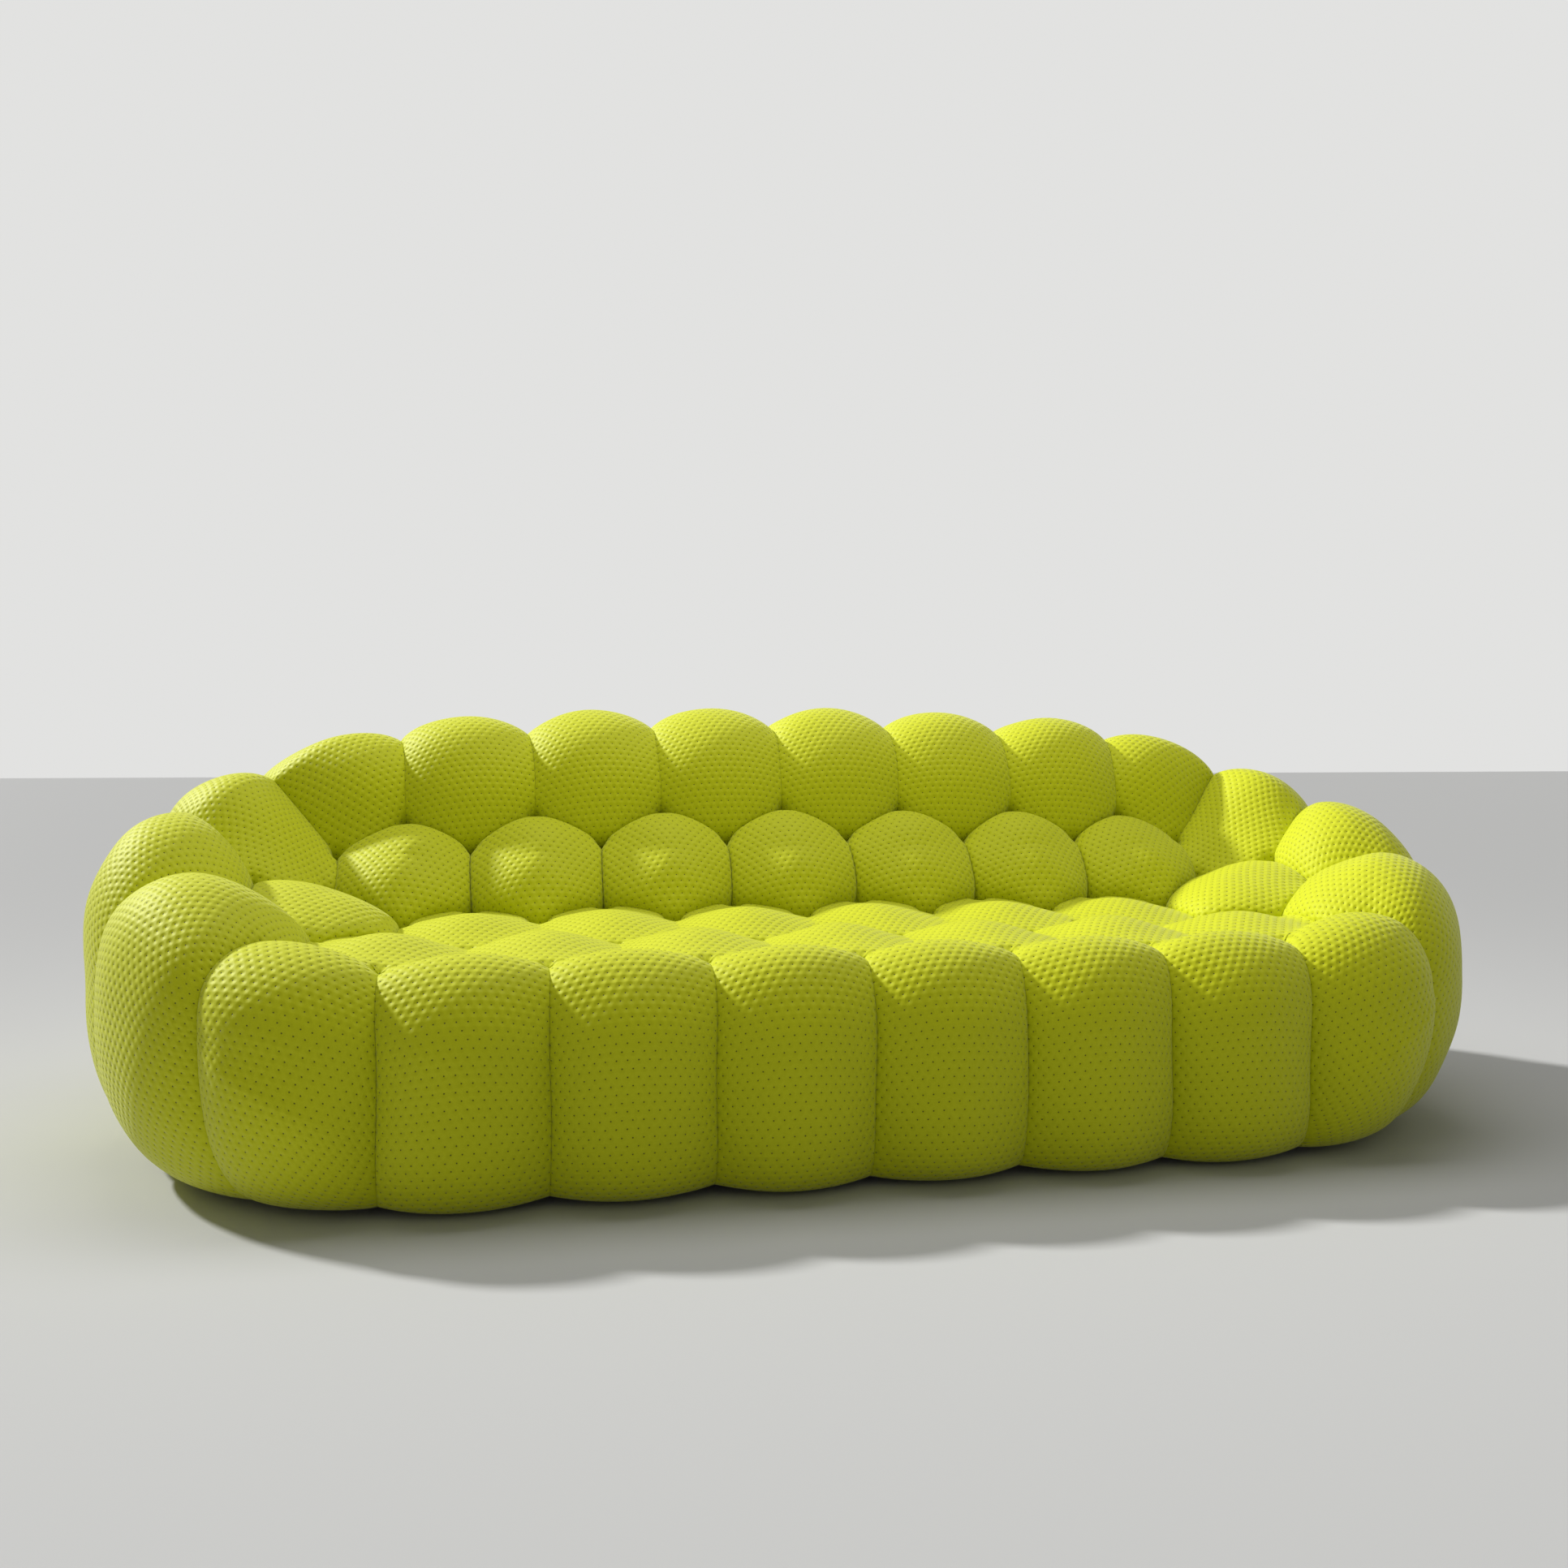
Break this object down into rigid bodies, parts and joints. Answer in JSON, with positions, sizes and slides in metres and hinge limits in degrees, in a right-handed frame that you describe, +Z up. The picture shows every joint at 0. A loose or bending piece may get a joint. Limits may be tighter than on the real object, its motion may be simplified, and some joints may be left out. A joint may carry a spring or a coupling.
{
  "type": "modular sofa",
  "caption": "Low oval sofa of tufted bubble pads: a padded ring rises from a low front over arms to a rolled back round a tufted seat.",
  "frame": {"origin": "on the floor under the middle of the whole sofa", "axes": "+X along the length, to the right seen from the front; +Y towards the back; the front faces -Y; +Z up"},
  "size_m": [2.6196, 1.346, 0.8078],
  "materials": {
    "lime_knit": "matte dimpled stretch knit, lime yellow-green",
    "birch_plywood": "plain sanded birch plywood",
    "elastic_webbing": "black elastic webbing",
    "seat_foam": "pale polyurethane foam",
    "liner_cloth": "black non-woven cloth",
    "glide_plastic": "black moulded plastic"
  },
  "bodies": {
    "root": {"back_rim_pad_1": "lime_knit", "back_rim_pad_2": "lime_knit", "back_rim_pad_3": "lime_knit", "back_rim_pad_4": "lime_knit", "back_rim_pad_5": "lime_knit", "back_rim_pad_6": "lime_knit", "back_rim_pad_7": "lime_knit", "back_rim_pad_8": "lime_knit", "back_webbing": "elastic_webbing", "backrest_pad_1": "lime_knit", "backrest_pad_2": "lime_knit", "backrest_pad_3": "lime_knit", "backrest_pad_4": "lime_knit", "backrest_pad_5": "lime_knit", "backrest_pad_6": "lime_knit", "backrest_pad_7": "lime_knit", "base_board": "birch_plywood", "base_liner": "liner_cloth", "front_glide_left": "glide_plastic", "front_glide_middle": "glide_plastic", "front_glide_right": "glide_plastic", "front_pad_1": "lime_knit", "front_pad_2": "lime_knit", "front_pad_3": "lime_knit", "front_pad_4": "lime_knit", "front_pad_5": "lime_knit", "front_pad_6": "lime_knit", "front_pad_7": "lime_knit", "front_pad_8": "lime_knit", "front_rail": "birch_plywood", "left_arm_inner_pad": "lime_knit", "left_arm_pad_1": "lime_knit", "left_arm_pad_2": "lime_knit", "left_arm_pad_3": "lime_knit", "left_end_board_1": "birch_plywood", "left_end_board_2": "birch_plywood", "left_end_board_3": "birch_plywood", "left_end_board_4": "birch_plywood", "left_end_board_5": "birch_plywood", "rear_glide_left": "glide_plastic", "rear_glide_middle": "glide_plastic", "rear_glide_right": "glide_plastic", "rear_panel": "birch_plywood", "rib_1": "birch_plywood", "rib_2": "birch_plywood", "rib_3": "birch_plywood", "rib_4": "birch_plywood", "right_arm_inner_pad": "lime_knit", "right_arm_pad_1": "lime_knit", "right_arm_pad_2": "lime_knit", "right_arm_pad_3": "lime_knit", "right_end_board_1": "birch_plywood", "right_end_board_2": "birch_plywood", "right_end_board_3": "birch_plywood", "right_end_board_4": "birch_plywood", "right_end_board_5": "birch_plywood", "seat_cushion": "lime_knit", "seat_foam_core": "seat_foam", "seat_webbing": "elastic_webbing"}
  },
  "joints": []
}
